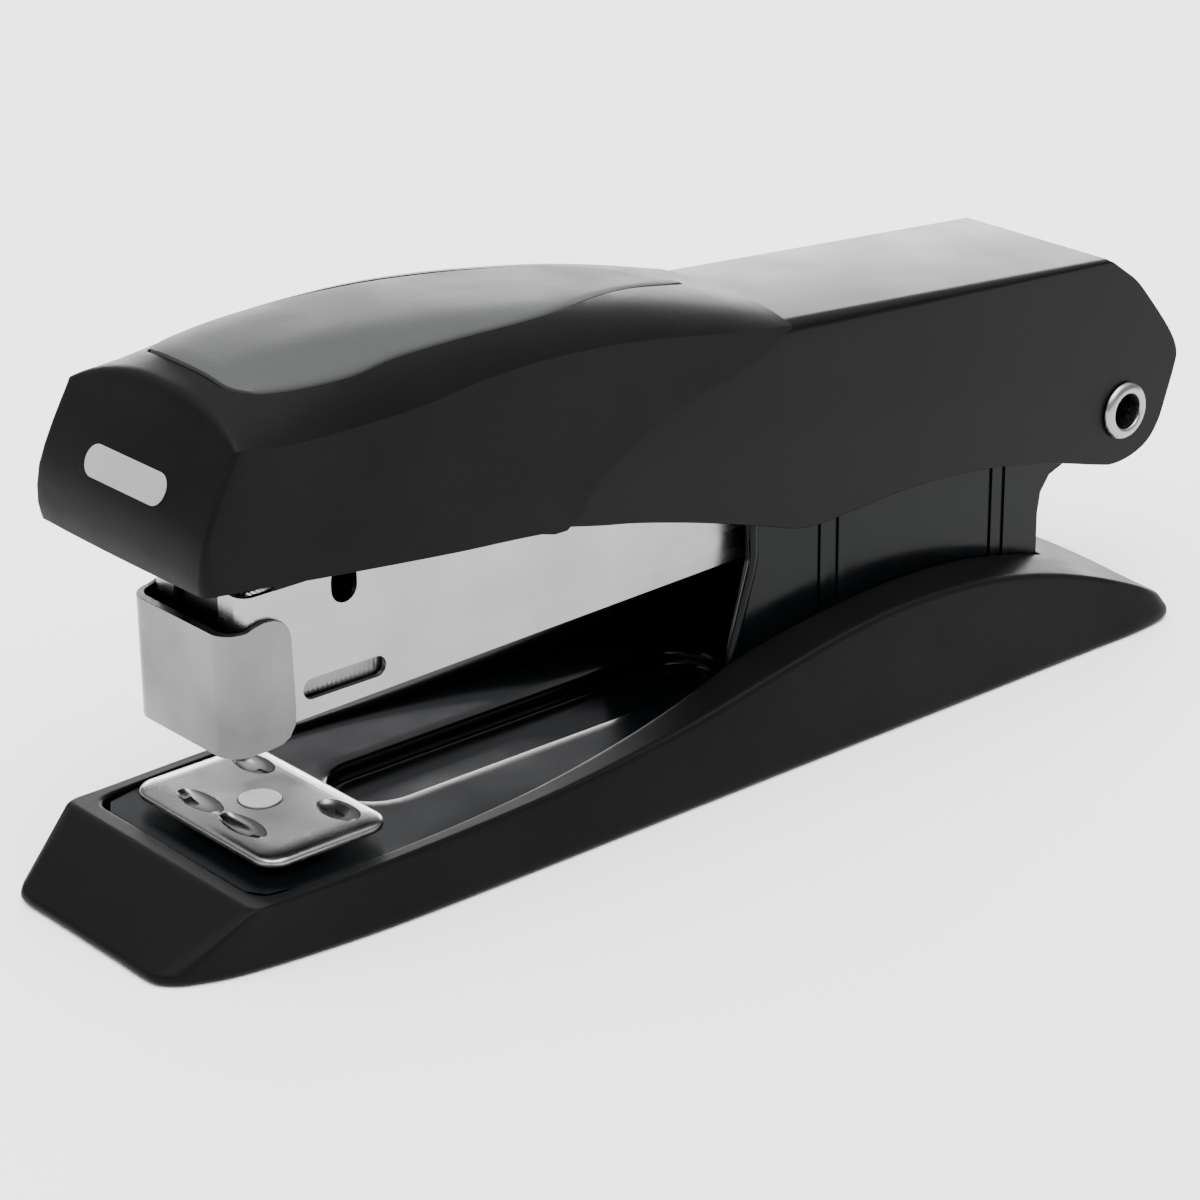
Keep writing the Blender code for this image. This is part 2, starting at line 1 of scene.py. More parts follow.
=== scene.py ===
"""Looks of the desk stapler: camera, light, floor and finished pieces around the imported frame.

Lengths are in millimetres in a station frame: x runs back from the front of the base, y is across, z is up.
"""

import math

import bmesh
import bpy
from mathutils import Matrix, Vector


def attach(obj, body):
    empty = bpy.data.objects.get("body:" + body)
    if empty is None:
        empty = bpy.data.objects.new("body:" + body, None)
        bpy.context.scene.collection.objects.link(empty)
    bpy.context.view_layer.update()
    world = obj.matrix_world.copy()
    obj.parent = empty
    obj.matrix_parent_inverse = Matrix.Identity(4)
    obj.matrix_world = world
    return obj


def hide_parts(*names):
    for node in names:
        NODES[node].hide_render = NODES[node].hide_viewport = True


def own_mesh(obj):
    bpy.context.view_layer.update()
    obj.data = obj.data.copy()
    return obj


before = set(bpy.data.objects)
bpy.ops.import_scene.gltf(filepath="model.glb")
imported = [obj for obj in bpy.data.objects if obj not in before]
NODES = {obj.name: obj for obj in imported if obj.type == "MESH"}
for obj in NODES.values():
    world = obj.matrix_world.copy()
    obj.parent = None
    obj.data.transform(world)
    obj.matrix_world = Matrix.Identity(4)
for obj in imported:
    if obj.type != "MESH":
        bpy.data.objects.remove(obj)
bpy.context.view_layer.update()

MM = 0.001
CENTRE_X = 68.2
PIVOT_X = 129.0
PIVOT_Z = 24.3
ANVIL_X = 19.25
FLOOR_REACH = 15.0


def metres(point):
    """A station point in metres, with the origin under the middle of the base."""
    return Vector(((point[0] - CENTRE_X) * MM, point[1] * MM, point[2] * MM))


# ---------------------------------------------------------------- camera, light and floor

def aim(thing, position, forward, roll=0.0):
    """Places a camera or light so that it looks along forward, turned by roll about that line."""
    turn = forward.to_track_quat("-Z", "Y").to_matrix().to_4x4()
    thing.matrix_world = Matrix.Translation(position) @ turn @ Matrix.Rotation(roll, 4, "Z")


def add_camera():
    data = bpy.data.cameras.new("camera")
    data.sensor_width = 36.0
    data.lens = 108.0
    data.clip_start = 0.01
    data.clip_end = 10.0
    camera = bpy.data.objects.new("camera", data)
    bpy.context.scene.collection.objects.link(camera)
    turn, drop = 0.7077, 0.3997
    forward = Vector((math.sin(turn) * math.cos(drop), math.cos(turn) * math.cos(drop), -math.sin(drop)))
    aim(camera, metres((-157.69, -257.22, 159.91)), forward, -0.0098)
    bpy.context.scene.camera = camera


def add_area(name, position, target, size, power, size_y=None):
    data = bpy.data.lights.new(name, "AREA")
    data.energy = power
    data.size = size
    if size_y:
        data.shape = "RECTANGLE"
        data.size_y = size_y
    light = bpy.data.objects.new(name, data)
    bpy.context.scene.collection.objects.link(light)
    position, target = Vector(position), Vector(target)
    aim(light, position, (target - position).normalized())


def add_world():
    """Soft surround, bright overhead and dimmer towards the horizon."""
    world = bpy.data.worlds.new("studio")
    bpy.context.scene.world = world
    world.use_nodes = True
    tree = world.node_tree
    place = tree.nodes.new("ShaderNodeTexCoord")
    split = tree.nodes.new("ShaderNodeSeparateXYZ")
    ramp = tree.nodes.new("ShaderNodeValToRGB")
    ramp.color_ramp.elements[0].position = 0.0
    ramp.color_ramp.elements[0].color = (0.16, 0.16, 0.17, 1.0)
    ramp.color_ramp.elements[1].position = 0.85
    ramp.color_ramp.elements[1].color = (1.0, 1.0, 1.0, 1.0)
    middle = ramp.color_ramp.elements.new(0.46)
    middle.color = (0.24, 0.245, 0.26, 1.0)
    tree.links.new(place.outputs["Generated"], split.inputs[0])
    tree.links.new(split.outputs["Z"], ramp.inputs["Fac"])
    tree.links.new(ramp.outputs["Color"], tree.nodes["Background"].inputs["Color"])
    tree.nodes["Background"].inputs["Strength"].default_value = 2.6


def add_floor():
    mesh = bpy.data.meshes.new("floor")
    corners = [(x * FLOOR_REACH, y * FLOOR_REACH, 0) for x, y in ((-1, -1), (1, -1), (1, 1), (-1, 1))]
    mesh.from_pydata(corners, [], [(0, 1, 2, 3)])
    floor = bpy.data.objects.new("floor", mesh)
    bpy.context.scene.collection.objects.link(floor)
    look = bpy.data.materials.new("floor")
    look.use_nodes = True
    shader = look.node_tree.nodes["Principled BSDF"]
    shader.inputs["Base Color"].default_value = (0.93, 0.93, 0.93, 1.0)
    shader.inputs["Roughness"].default_value = 0.7
    shader.inputs["Specular IOR Level"].default_value = 0.2
    floor.data.materials.append(look)


# ---------------------------------------------------------------- materials

FIELD_LOW, FIELD_HIGH = 0.3, 0.7


def new_material(name):
    made = bpy.data.materials.new(name)
    made.use_nodes = True
    return made, made.node_tree, made.node_tree.nodes["Principled BSDF"]


def noise(tree, scale, detail, stretch=(1.0, 1.0, 1.0)):
    """A noise field in object space, scale in cells per metre, stretched along the axes."""
    place = tree.nodes.new("ShaderNodeTexCoord")
    mapping = tree.nodes.new("ShaderNodeMapping")
    mapping.inputs["Scale"].default_value = stretch
    field = tree.nodes.new("ShaderNodeTexNoise")
    field.inputs["Scale"].default_value = scale
    field.inputs["Detail"].default_value = detail
    tree.links.new(place.outputs["Object"], mapping.inputs["Vector"])
    tree.links.new(mapping.outputs["Vector"], field.inputs["Vector"])
    return field.outputs["Fac"]


def spread(tree, value, low, high):
    """Maps the middle of a field to low..high, without going past them."""
    node = tree.nodes.new("ShaderNodeMapRange")
    node.inputs["From Min"].default_value = FIELD_LOW
    node.inputs["From Max"].default_value = FIELD_HIGH
    node.inputs["To Min"].default_value = low
    node.inputs["To Max"].default_value = high
    tree.links.new(value, node.inputs["Value"])
    return node.outputs["Result"]


def tint(tree, value, dark, light):
    """Maps the middle of a field to colours from dark to light."""
    ramp = tree.nodes.new("ShaderNodeValToRGB")
    ramp.color_ramp.elements[0].position = FIELD_LOW
    ramp.color_ramp.elements[0].color = (*dark, 1.0)
    ramp.color_ramp.elements[1].position = FIELD_HIGH
    ramp.color_ramp.elements[1].color = (*light, 1.0)
    tree.links.new(value, ramp.inputs["Fac"])
    return ramp.outputs["Color"]


def bump(tree, shader, value, depth, strength, before=None):
    node = tree.nodes.new("ShaderNodeBump")
    node.inputs["Strength"].default_value = strength
    node.inputs["Distance"].default_value = depth
    tree.links.new(value, node.inputs["Height"])
    if before is not None:
        tree.links.new(before, node.inputs["Normal"])
    tree.links.new(node.outputs["Normal"], shader.inputs["Normal"])
    return node.outputs["Normal"]


def moulded_plastic(name, dark, light, rough, grain, specular):
    """Matt moulded plastic: fine spark-eroded grain, faint mottling and small changes in sheen."""
    made, tree, shader = new_material(name)
    tree.links.new(tint(tree, noise(tree, 60, 4), dark, light), shader.inputs["Base Color"])
    tree.links.new(spread(tree, noise(tree, 140, 3), rough - 0.05, rough + 0.06), shader.inputs["Roughness"])
    shader.inputs["Specular IOR Level"].default_value = specular
    coarse = bump(tree, shader, noise(tree, 900, 2), grain * 1.5, 0.35)
    bump(tree, shader, noise(tree, 4200, 2), grain, 0.5, coarse)
    return made


def painted_steel(name, dark, light, rough, peel, specular):
    """Enamel on pressed steel: slight orange peel and a few dull rubs."""
    made, tree, shader = new_material(name)
    tree.links.new(tint(tree, noise(tree, 45, 4), dark, light), shader.inputs["Base Color"])
    tree.links.new(spread(tree, noise(tree, 90, 5), rough - 0.03, rough + 0.06), shader.inputs["Roughness"])
    shader.inputs["Specular IOR Level"].default_value = specular
    coarse = bump(tree, shader, noise(tree, 320, 2), peel, 0.25)
    bump(tree, shader, noise(tree, 3000, 2), peel * 0.25, 0.3, coarse)
    return made


def plated_steel(name, dark, light, rough, stretch):
    """Bright plating over rolled sheet: fine lines along the rolling direction, faint stains, soft dents."""
    made, tree, shader = new_material(name)
    shader.inputs["Metallic"].default_value = 1.0
    tree.links.new(tint(tree, noise(tree, 70, 5), dark, light), shader.inputs["Base Color"])
    fine = noise(tree, 5200, 3, stretch)
    broad = noise(tree, 240, 4, stretch)
    tree.links.new(spread(tree, broad, rough - 0.06, rough + 0.08), shader.inputs["Roughness"])
    soft = bump(tree, shader, noise(tree, 110, 2), 0.00006, 0.35)
    bump(tree, shader, fine, 0.000012, 0.5, soft)
    return made


LOOKS = {}


def make_materials():
    LOOKS["plastic"] = moulded_plastic(
        "matte_black_plastic", (0.0026, 0.0026, 0.0028), (0.0036, 0.0036, 0.0039), 0.42, 0.00002, 0.055)
    LOOKS["grip"] = moulded_plastic(
        "grey_grip_plastic", (0.042, 0.043, 0.043), (0.050, 0.051, 0.051), 0.5, 0.00003, 0.06)
    LOOKS["rubber"] = moulded_plastic(
        "rubber_pad", (0.004, 0.004, 0.004), (0.007, 0.007, 0.007), 0.85, 0.00005, 0.1)
    LOOKS["mark"] = moulded_plastic(
        "printed_mark", (0.20, 0.20, 0.20), (0.25, 0.25, 0.25), 0.4, 0.00001, 0.2)
    LOOKS["gloss"] = painted_steel(
        "gloss_black_paint", (0.0008, 0.0013, 0.0016), (0.0015, 0.0022, 0.0026), 0.17, 0.00003, 0.10)
    LOOKS["satin"] = painted_steel(
        "satin_black_paint", (0.0019, 0.0019, 0.0021), (0.0028, 0.0028, 0.0031), 0.33, 0.00002, 0.075)
    LOOKS["nickel"] = plated_steel(
        "nickel_plate", (0.24, 0.24, 0.24), (0.31, 0.31, 0.31), 0.26, (0.05, 1.0, 1.0))
    # Painted shade: the same nickel plating, coloured darker for the nose and the staples.
    LOOKS["nose"] = plated_steel(
        "nickel_nose_painted_shade", (0.10, 0.10, 0.102), (0.18, 0.18, 0.182), 0.27, (1.0, 1.0, 0.05))
    # Painted shade: the same nickel plating, coloured darker to tone down the anvil's reflection of the
    # overhead light.
    LOOKS["anvil"] = plated_steel(
        "nickel_anvil_painted_shade", (0.14, 0.14, 0.138), (0.21, 0.21, 0.207), 0.22, (0.4, 0.4, 1.0))
    LOOKS["dark_steel"] = plated_steel(
        "dark_spring_steel", (0.08, 0.08, 0.085), (0.15, 0.15, 0.155), 0.32, (0.1, 1.0, 1.0))


# ---------------------------------------------------------------- mesh tools

def curve_value(table, x):
    """Smooth curve through (x, value) pairs, straight beyond the ends."""
    if x <= table[0][0]:
        (x0, y0), (x1, y1) = table[0], table[1]
        return y0 + (x - x0) * (y1 - y0) / (x1 - x0)
    if x >= table[-1][0]:
        (x0, y0), (x1, y1) = table[-2], table[-1]
        return y1 + (x - x1) * (y1 - y0) / (x1 - x0)
    i = max(k for k in range(len(table) - 1) if table[k][0] <= x)
    (x0, y0), (x1, y1) = table[i], table[i + 1]

    def slope(k):
        if k <= 0:
            return (table[1][1] - table[0][1]) / (table[1][0] - table[0][0])
        if k >= len(table) - 1:
            return (table[-1][1] - table[-2][1]) / (table[-1][0] - table[-2][0])
        return (table[k + 1][1] - table[k - 1][1]) / (table[k + 1][0] - table[k - 1][0])

    t = (x - x0) / (x1 - x0)
    m0, m1 = slope(i) * (x1 - x0), slope(i + 1) * (x1 - x0)
    return ((2 * t**3 - 3 * t**2 + 1) * y0 + (t**3 - 2 * t**2 + t) * m0
            + (3 * t**2 - 2 * t**3) * y1 + (t**3 - t**2) * m1)


def smooth_path(points, steps, closed=False):
    """Smooth path through the points, with so many steps from each point to the next."""
    count = len(points)
    vectors = [Vector(p) for p in points]
    out = []
    spans = count if closed else count - 1
    for i in range(spans):
        p1, p2 = vectors[i], vectors[(i + 1) % count]
        p0 = vectors[i - 1] if closed or i > 0 else p1
        p3 = vectors[(i + 2) % count] if closed or i + 2 < count else p2
        for k in range(steps):
            t = k / steps
            out.append(0.5 * (2 * p1 + (p2 - p0) * t + (2 * p0 - 5 * p1 + 4 * p2 - p3) * t**2
                              + (3 * p1 - p0 - 3 * p2 + p3) * t**3))
    if not closed:
        out.append(vectors[-1])
    return [tuple(p) for p in out]


def rounded_profile(points, radii, steps=4):
    """The open polyline with each inner corner replaced by a curve that starts radius before it."""
    vectors = [Vector(p) for p in points]
    out = [vectors[0]]
    for i in range(1, len(vectors) - 1):
        before, here, after = vectors[i - 1], vectors[i], vectors[i + 1]
        reach_in = min(radii[i - 1], 0.49 * (here - before).length)
        reach_out = min(radii[i - 1], 0.49 * (after - here).length)
        start = here + (before - here).normalized() * reach_in
        end = here + (after - here).normalized() * reach_out
        for k in range(steps + 1):
            t = k / steps
            out.append((1 - t) ** 2 * start + 2 * t * (1 - t) * here + t**2 * end)
    out.append(vectors[-1])
    return out


def object_from(shape, name):
    bmesh.ops.remove_doubles(shape, verts=shape.verts, dist=1e-7)
    bmesh.ops.recalc_face_normals(shape, faces=shape.faces)
    mesh = bpy.data.meshes.new(name)
    shape.to_mesh(mesh)
    shape.free()
    made = bpy.data.objects.new(name, mesh)
    bpy.context.scene.collection.objects.link(made)
    return made


def add_grid(shape, rows, closed_rows=False, closed_columns=False):
    """Quads through rows of points in millimetres. Returns the vertices, row by row."""
    verts = [[shape.verts.new(metres(p)) for p in row] for row in rows]
    count_r, count_c = len(rows), len(rows[0])
    for r in range(count_r if closed_rows else count_r - 1):
        for c in range(count_c if closed_columns else count_c - 1):
            a, b = verts[r], verts[(r + 1) % count_r]
            d = (c + 1) % count_c
            shape.faces.new((a[c], a[d], b[d], b[c]))
    return verts


def prism(name, outline, low, high, axis="y"):
    """A closed outline pushed from low to high: (x, z) points along y, or (x, y) points along z."""
    shape = bmesh.new()
    if axis == "y":
        rows = [[(u, level, v) for u, v in outline] for level in (low, high)]
    else:
        rows = [[(u, v, level) for u, v in outline] for level in (low, high)]
    verts = add_grid(shape, rows, closed_columns=True)
    shape.faces.new(verts[0])
    shape.faces.new(verts[-1])
    return object_from(shape, name)


def circle(cx, cy, radius, steps):
    """Points round a circle."""
    turn = 2 * math.pi / steps
    return [(cx + radius * math.cos(turn * i), cy + radius * math.sin(turn * i)) for i in range(steps)]


def obround(cx, cy, half_length, radius, steps=14):
    """Points round a slot with half-round ends, half_length from its middle to each end's centre."""
    points = []
    for side, start in ((1, -math.pi / 2), (-1, math.pi / 2)):
        for i in range(steps + 1):
            angle = start + math.pi * i / steps
            points.append((cx + side * half_length + radius * math.cos(angle), cy + radius * math.sin(angle)))
    return points


def rounded_rectangle(cx, cy, half_x, half_y, radius, steps=10):
    """Points round a rectangle with rounded corners."""
    points = []
    for sx, sy, start in ((1, 1, 0.0), (-1, 1, 0.5), (-1, -1, 1.0), (1, -1, 1.5)):
        for i in range(steps + 1):
            angle = math.pi * (start + 0.5 * i / steps)
            points.append((cx + sx * (half_x - radius) + radius * math.cos(angle),
                           cy + sy * (half_y - radius) + radius * math.sin(angle)))
    return points


def ellipsoid(name, centre, radii, columns=36, rows=14):
    shape = bmesh.new()
    rings = []
    for r in range(1, rows):
        polar = math.pi * r / rows
        ring = []
        for c in range(columns):
            turn = 2 * math.pi * c / columns
            ring.append((centre[0] + radii[0] * math.sin(polar) * math.cos(turn),
                         centre[1] + radii[1] * math.sin(polar) * math.sin(turn),
                         centre[2] + radii[2] * math.cos(polar)))
        rings.append(ring)
    verts = add_grid(shape, rings, closed_columns=True)
    shape.faces.new(verts[0])
    shape.faces.new(verts[-1])
    return object_from(shape, name)


def evaluated(thing):
    """Replaces the object's mesh with what its modifiers make of it."""
    graph = bpy.context.evaluated_depsgraph_get()
    mesh = bpy.data.meshes.new_from_object(thing.evaluated_get(graph))
    thing.modifiers.clear()
    thing.data = mesh
    return thing


def cut(target, *tools, operation="DIFFERENCE"):
    for tool in tools:
        modifier = target.modifiers.new("cut", "BOOLEAN")
        modifier.operation = operation
        modifier.solver = "EXACT"
        modifier.object = tool
        evaluated(target)
        bpy.data.objects.remove(tool)
    return target


def soften(thing, width, segments, angle):
    """Rounds the hard edges by width millimetres and shades the rest smooth."""
    modifier = thing.modifiers.new("edges", "BEVEL")
    modifier.width = width * MM
    modifier.segments = segments
    modifier.limit_method = "ANGLE"
    modifier.angle_limit = math.radians(angle)
    modifier.harden_normals = True
    modifier.use_clamp_overlap = True
    shade(thing, angle)
    return thing


def shade(thing, angle):
    """Shades the faces smooth, with a crease where they meet at more than angle degrees."""
    for polygon in thing.data.polygons:
        polygon.use_smooth = True
    thing.data.set_sharp_from_angle(angle=math.radians(angle))
    return thing


def dress(thing, look, body, slot, *stands_for):
    """Gives the piece its material and lets it ride its body in place of CAD nodes; slot is not used."""
    thing.data.materials.clear()
    thing.data.materials.append(LOOKS[look])
    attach(thing, body)
    if stands_for:
        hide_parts(*stands_for)
    return thing


def round_upright_edges(shape, x, y, radius):
    """Rounds the vertical edges that stand at x and at y to either side."""
    picked = []
    for edge in shape.edges:
        ends = [v.co for v in edge.verts]
        if all(abs(e.x - (x - CENTRE_X) * MM) < 2e-5 and abs(abs(e.y) - y * MM) < 2e-5 for e in ends):
            picked.append(edge)
    bmesh.ops.bevel(shape, geom=picked, offset=radius * MM, segments=7, profile=0.5, affect="EDGES")


def refined(node, look, body, slot, width, bends=()):
    """A copy of a CAD node with its coplanar faces joined and its hard edges rounded."""
    source = NODES[node]
    shape = bmesh.new()
    shape.from_mesh(source.data)
    shape.transform(source.matrix_world)
    bmesh.ops.remove_doubles(shape, verts=shape.verts, dist=1e-7)
    bmesh.ops.dissolve_limit(shape, angle_limit=math.radians(0.5), verts=shape.verts, edges=shape.edges)
    for x, y, radius in bends:
        round_upright_edges(shape, x, y, radius)
    made = object_from(shape, node + "_finish")
    soften(made, width, 2, 30.0)
    return dress(made, look, body, slot, node)


# ---------------------------------------------------------------- plastic cap and grip panel

# Each table is a curve through (x, value) pairs: height of the crest, height and half width of the shoulder,
# half width and height of the lower edge, and how flat the crown is between its shoulders.
CAP_TOP = ((9.4, 53.0), (11.0, 53.5), (13.0, 54.0), (17.0, 54.7), (22.0, 55.1), (30.0, 55.2), (38.0, 54.9),
           (46.0, 54.1), (54.0, 53.0), (62.0, 51.7), (70.0, 50.0), (78.0, 47.9))
CAP_SHOULDER = ((9.4, 50.1), (14.0, 49.3), (20.5, 49.0), (30.0, 49.1), (37.5, 49.8), (45.0, 50.0),
                (53.0, 49.5), (60.0, 48.6), (67.5, 47.3), (78.0, 45.8))
CAP_WIDE = ((9.4, 13.4), (14.0, 13.3), (20.0, 13.1), (30.0, 12.9), (40.0, 12.7), (50.0, 12.5), (60.0, 12.2),
            (70.0, 11.9), (78.0, 11.7))
CAP_LOW = ((5.5, 13.7), (20.0, 13.6), (43.0, 13.2), (50.0, 12.9), (60.0, 12.4), (70.0, 12.0), (78.0, 11.75))
CAP_EDGE = ((5.5, 37.3), (9.9, 36.8), (18.7, 35.7), (32.4, 34.1), (43.3, 33.0), (45.6, 32.4), (47.2, 32.7),
            (48.6, 33.8), (50.2, 35.6), (52.4, 37.2), (55.4, 38.8), (59.2, 40.3), (63.6, 41.4), (68.5, 42.3),
            (71.5, 42.9), (73.8, 43.8), (76.0, 44.9), (78.0, 45.6))
CAP_POWER = ((9.4, 2.6), (13.0, 2.8), (18.0, 3.2), (25.0, 3.8), (35.0, 4.2), (50.0, 4.2), (65.0, 3.8),
             (78.0, 3.0))
# The front face in profile: (z, x) pairs.
CAP_FRONT = ((37.1, 5.35), (38.0, 5.15), (39.4, 5.05), (42.4, 5.6), (46.2, 7.3), (50.0, 9.4), (53.4, 10.9),
             (58.0, 12.8))
CAP_FOOT_X = 5.5
CAP_HEAD_X = 9.7
CAP_END = 77.8
CAP_HALF = 13.4
FACE_ROWS = 12
EDGE_ROWS = 6
LENGTH_ROWS = 44
WALL = 1.2
CROWN_SPOTS = (1.0, 0.985, 0.955, 0.91, 0.85, 0.78, 0.70, 0.61, 0.51, 0.41, 0.31, 0.21, 0.10, 0.0)
SIDE_SPOTS = (0.0, 0.04, 0.12, 0.25, 0.4, 0.55, 0.7, 0.83, 0.92, 0.97)


def crown_height(x, y):
    """Height of the cap's outer surface between its shoulders."""
    wide = curve_value(CAP_WIDE, x)
    shoulder = curve_value(CAP_SHOULDER, x)
    top = curve_value(CAP_TOP, x)
    share = min(1.0, abs(y) / wide)
    return shoulder + (top - shoulder) * (1.0 - share ** curve_value(CAP_POWER, x))


def front_x(y, z):
    """Station of the slightly bowed front face."""
    return curve_value(CAP_FRONT, z) - 0.25 * max(0.0, 1.0 - (y / CAP_HALF) ** 2)


def front_round(y, z):
    """Radius of the edge round the front face: crisp along the upper sides, softer over crown and foot."""
    foot = min(1.0, max(0.0, (43.5 - z) / 6.0))
    crown = min(1.0, max(0.0, (12.6 - abs(y)) / 5.0)) if z > 49.0 else 0.0
    return 0.45 + 0.75 * foot * foot + 0.6 * crown


def cap_section(share):
    """Points across the cap from the near lower edge to the far one, share of the way from front to rear."""
    half = []
    foot_x = CAP_FOOT_X + (CAP_END - CAP_FOOT_X) * share
    head_x = CAP_HEAD_X + (CAP_END + 0.2 - CAP_HEAD_X) * share
    foot = (curve_value(CAP_LOW, foot_x), curve_value(CAP_EDGE, foot_x))
    head = (curve_value(CAP_WIDE, head_x), curve_value(CAP_SHOULDER, head_x))
    for t in SIDE_SPOTS:
        half.append((foot[0] + (head[0] - foot[0]) * t, foot[1] + (head[1] - foot[1]) * t))
    for t in CROWN_SPOTS:
        y = head[0] * t
        half.append((y, crown_height(head_x, y)))
    return [(-y, z) for y, z in half] + [(y, z) for y, z in half[-2::-1]]


def shrunk(section, share):
    """The section moved in along its normals by share of the edge radius."""
    out = []
    for i, (y, z) in enumerate(section):
        before, after = section[max(i - 1, 0)], section[min(i + 1, len(section) - 1)]
        dy, dz = after[0] - before[0], after[1] - before[1]
        size = math.hypot(dy, dz) or 1.0
        inset = share * front_round(y, z)
        out.append((y + inset * dz / size, z - inset * dy / size))
    return out


def cap_rows():
    """Rows of outside points: up the front face, round its edge, then back along the length."""
    rows = []
    base = cap_section(0.0)
    face = shrunk(base, 1.0)
    lowest = curve_value(CAP_EDGE, CAP_FOOT_X)
    count = len(base)
    for r in range(FACE_ROWS):
        t = r / FACE_ROWS
        row = []
        for i, (y, z) in enumerate(face):
            foot_y = face[0][0] + (face[-1][0] - face[0][0]) * i / (count - 1)
            py, pz = foot_y + (y - foot_y) * t, lowest + (z - lowest) * t
            row.append((front_x(py, pz), py, pz))
        rows.append(row)
    for r in range(EDGE_ROWS):
        angle = 0.5 * math.pi * r / (EDGE_ROWS - 1)
        row = []
        for (y, z), (y0, z0) in zip(shrunk(base, 1 - math.sin(angle)), base):
            row.append((front_x(y, z) + front_round(y0, z0) * (1 - math.cos(angle)), y, z))
        rows.append(row)
    for r in range(1, LENGTH_ROWS + 1):
        share = r / LENGTH_ROWS
        row = []
        for (y, z), (y0, z0) in zip(cap_section(share), base):
            start = front_x(y0, z0) + front_round(y0, z0)
            end = CAP_END - 1.3 * (1 - (y / 11.7) ** 2)
            row.append((start + (end - start) * share, y, z))
        rows.append(row)
    return rows


def cap_inner(point, row):
    """Inside surface of the shell, opposite an outside point."""
    x, y, z = point
    side = 1 if y > 0 else -1
    if row < FACE_ROWS + EDGE_ROWS:
        x += WALL
    inner_y = side * min(abs(y) * 0.93, 11.45)
    roof = crown_height(max(x, CAP_HEAD_X), y) - 1.1
    inner_z = z
    if abs(y) < CAP_HALF and z > curve_value(CAP_SHOULDER, max(x, CAP_HEAD_X)) - 0.5:
        inner_z = min(z - 0.25, max(46.35, roof))
    return (x, inner_y, inner_z)


def build_cap():
    """The cap's shell, open below and behind."""
    outer = cap_rows()
    inner = [[cap_inner(p, r) for p in row] for r, row in enumerate(outer)]
    shape = bmesh.new()
    out_verts = add_grid(shape, outer)
    in_verts = add_grid(shape, inner)
    last = len(outer) - 1
    end = len(outer[0]) - 1
    for r in range(last):
        for c in (0, end):
            shape.faces.new((out_verts[r][c], out_verts[r + 1][c], in_verts[r + 1][c], in_verts[r][c]))
    for c in range(end):
        for r in (0, last):
            shape.faces.new((out_verts[r][c], out_verts[r][c + 1], in_verts[r][c + 1], in_verts[r][c]))
    return object_from(shape, "front_cap_shell")


GRIP = ((13.35, -0.3), (13.3, -3.5), (13.35, -6.1), (14.1, -7.6), (15.6, -8.7), (18.9, -9.6), (24.4, -10.1),
        (30.0, -9.74), (37.0, -9.7), (44.0, -9.4), (50.3, -8.5), (57.0, -6.4), (62.5, -4.8), (68.0, -3.6),
        (70.9, -2.7), (71.4, -2.1), (70.9, -1.2), (69.2, 0.9), (66.0, 3.2), (59.0, 5.2), (50.0, 5.9),
        (40.0, 6.2), (31.0, 6.7), (22.0, 7.5), (16.5, 7.5), (14.6, 7.1), (13.9, 6.2), (13.5, 3.1))
GRIP_MIDDLE = (36.0, -1.5)
GRIP_RINGS = (0.0, 0.12, 0.25, 0.4, 0.55, 0.7, 0.82, 0.92, 0.97, 1.0)
SEAM = 0.14


def grip_outline(grow):
    """The grip panel's plan, moved outwards by grow."""
    loop = smooth_path(GRIP, 4, closed=True)
    out = []
    count = len(loop)
    for i, (x, y) in enumerate(loop):
        before, after = loop[i - 1], loop[(i + 1) % count]
        dx, dy = after[0] - before[0], after[1] - before[1]
        size = math.hypot(dx, dy)
        out.append((x + grow * dy / size, y - grow * dx / size))
    return out


def crown_patch(name, grow, low_drop, high_drop, edge=0.0):
    """A closed slab inside the grip outline, from low_drop to high_drop below the crown."""
    shape = bmesh.new()
    rows = []
    middle_x, middle_y = GRIP_MIDDLE
    loop = grip_outline(grow)

    def at(share, drop):
        row = []
        for x, y in loop:
            px = middle_x + (x - middle_x) * share
            py = middle_y + (y - middle_y) * share
            row.append((px, py, crown_height(px, py) - drop))
        return row

    for share in GRIP_RINGS:
        extra = edge if share == 1.0 else 0.0
        rows.append(at(share, high_drop + extra))
    for share in reversed(GRIP_RINGS):
        rows.append(at(share, low_drop))
    add_grid(shape, rows, closed_columns=True)
    bmesh.ops.remove_doubles(shape, verts=shape.verts, dist=1e-7)
    return object_from(shape, name)


def add_cap():
    cap = build_cap()
    cut(cap, crown_patch("pocket", SEAM, 0.7, -3.0))
    shade(cap, 21.0)
    dress(cap, "plastic", "handle", "matte_black_plastic", "front_cap")
    grip = crown_patch("grip_panel", -SEAM, 0.6, 0.0, 0.16)
    shade(grip, 50.0)
    dress(grip, "grip", "handle", "grey_grip_plastic", "grip_inset")


# ---------------------------------------------------------------- base moulding

# Height of the moulding's upper outer edge: (x, z) pairs.
RIDGE = ((-2.0, 6.45), (7.2, 6.5), (20.6, 6.6), (35.0, 6.8), (44.0, 7.1), (53.0, 7.8), (62.0, 8.9),
         (73.0, 10.9), (81.5, 12.3), (90.0, 13.1), (97.7, 13.0), (105.3, 12.2), (113.3, 10.4), (121.5, 7.7),
         (128.3, 4.8), (131.0, 3.4), (133.2, 2.3))
